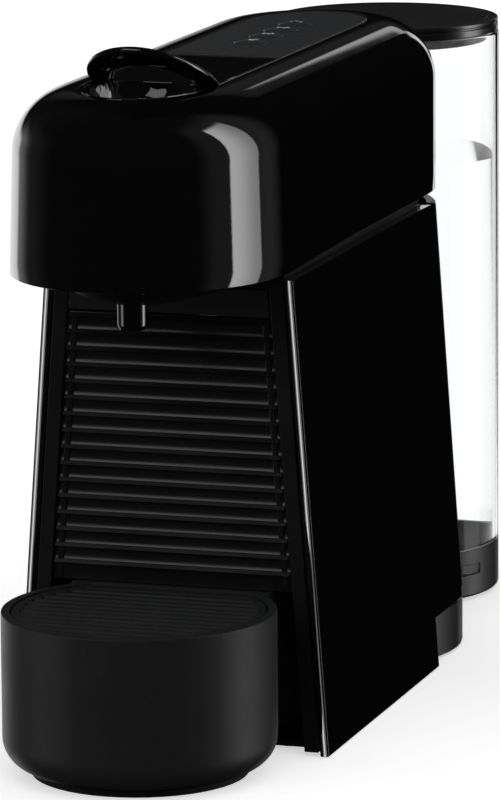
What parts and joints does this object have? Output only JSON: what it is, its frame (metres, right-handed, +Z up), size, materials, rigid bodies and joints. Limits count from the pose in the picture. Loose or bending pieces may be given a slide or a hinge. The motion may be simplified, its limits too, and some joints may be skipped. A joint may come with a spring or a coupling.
{
  "type": "pod coffee machine",
  "caption": "Slim pod coffee machine: long rounded head with lever loop and buttons, splayed side panels, round pull-out drip tray, clear round tank on a swivelling foot.",
  "frame": {"origin": "centre of the footprint box, on the table", "axes": "+Z up, the drip tray faces -Y, +X to the right as seen from the front"},
  "size_m": [0.1306, 0.448, 0.2858],
  "materials": {
    "gloss_black_plastic": "piano black, polished",
    "satin_black_plastic": "satin",
    "matte_black_plastic": "fine-grained matt",
    "dark_grey_panel": "satin dark grey",
    "button_black": "domed, semi-gloss, small pale icon",
    "clear_plastic": "clear",
    "black_rubber": "matt",
    "white_plastic": "moulded, inside the machine",
    "hose": "milky silicone",
    "circuit_board": "green solder mask",
    "steel": "turned",
    "aluminium": "die cast"
  },
  "bodies": {
    "machine": {"chassis": "satin_black_plastic", "base_plate": "satin_black_plastic", "back_cover": "satin_black_plastic", "cord_gland": "black_rubber", "side_panel_left": "gloss_black_plastic", "side_panel_right": "gloss_black_plastic", "rubber_foot_1": "black_rubber", "rubber_foot_2": "black_rubber", "rubber_foot_3": "black_rubber", "rubber_foot_4": "black_rubber", "head_cover": "gloss_black_plastic", "outlet_backplate": "satin_black_plastic", "head_underside": "satin_black_plastic", "outlet_cowl": "satin_black_plastic", "coffee_outlet": "matte_black_plastic", "finger_recess": "gloss_black_plastic", "control_panel": "dark_grey_panel", "button_board": "circuit_board", "lever_pivot_pin": "steel", "brew_frame": "white_plastic", "capsule_cage": "white_plastic", "water_pump": "white_plastic", "pump_bracket": "black_rubber", "thermoblock": "aluminium", "flow_meter": "white_plastic", "main_board": "circuit_board", "mains_terminal": "white_plastic", "pressure_hose": "hose", "suction_hose": "hose", "brew_hose": "hose"},
    "lever": {"lever_handle": "gloss_black_plastic", "crank_pin": "steel"},
    "jaw": {"brew_jaw": "white_plastic", "pierce_plate": "steel"},
    "button_a": {"button_1": "button_black"},
    "button_b": {"button_2": "button_black"},
    "button_c": {"button_3": "button_black"},
    "button_d": {"button_4": "button_black"},
    "drip_unit": {"drip_tray": "matte_black_plastic", "tray_foot": "black_rubber", "ribbed_front": "satin_black_plastic", "capsule_bin": "satin_black_plastic"},
    "grille": {"drip_grille": "satin_black_plastic"},
    "swivel": {"swivel_foot": "satin_black_plastic", "tank_cradle": "satin_black_plastic", "cradle_foot_1": "black_rubber", "cradle_foot_2": "black_rubber"},
    "tank": {"water_tank": "clear_plastic"},
    "valve": {"tank_valve": "white_plastic"},
    "lid": {"tank_lid": "matte_black_plastic"}
  },
  "joints": [
    {"name": "lever_hinge", "type": "hinge", "parent": "machine", "child": "lever", "pos_m": [0, -0.064, 0.2625], "axis": [-1, 0, 0], "range_deg": [0, 72]},
    {"name": "jaw_slide", "type": "slide", "parent": "machine", "child": "jaw", "axis": [0, -1, 0], "range_m": [0, 0.0248]},
    {"name": "button_1_press", "type": "slide", "parent": "machine", "child": "button_a", "axis": [0, 0, -1], "range_m": [0, 0.0013], "stiffness_N_per_m": 300},
    {"name": "button_2_press", "type": "slide", "parent": "machine", "child": "button_b", "axis": [0, 0, -1], "range_m": [0, 0.0013], "stiffness_N_per_m": 300},
    {"name": "button_3_press", "type": "slide", "parent": "machine", "child": "button_c", "axis": [0, 0, -1], "range_m": [0, 0.0013], "stiffness_N_per_m": 300},
    {"name": "button_4_press", "type": "slide", "parent": "machine", "child": "button_d", "axis": [0, 0, -1], "range_m": [0, 0.0013], "stiffness_N_per_m": 300},
    {"name": "drip_unit_pull", "type": "slide", "parent": "machine", "child": "drip_unit", "axis": [0, -1, 0], "range_m": [0, 0.13]},
    {"name": "grille_lift", "type": "slide", "parent": "drip_unit", "child": "grille", "axis": [0, 0, 1], "range_m": [0, 0.06]},
    {"name": "tank_swivel", "type": "hinge", "parent": "machine", "child": "swivel", "pos_m": [0, 0.0607, 0.01], "axis": [0, 0, 1], "range_deg": [-90, 90]},
    {"name": "tank_lift", "type": "slide", "parent": "swivel", "child": "tank", "axis": [0, 0, 1], "range_m": [0, 0.06]},
    {"name": "valve_lift", "type": "slide", "parent": "tank", "child": "valve", "axis": [0, 0, 1], "range_m": [0, 0.002], "stiffness_N_per_m": 100},
    {"name": "lid_lift", "type": "slide", "parent": "tank", "child": "lid", "axis": [0, 0, 1], "range_m": [0, 0.04]}
  ],
  "couplings": [
    {"joint": "jaw_slide", "follows": "lever_hinge", "m_per_rad": 0.01963}
  ]
}
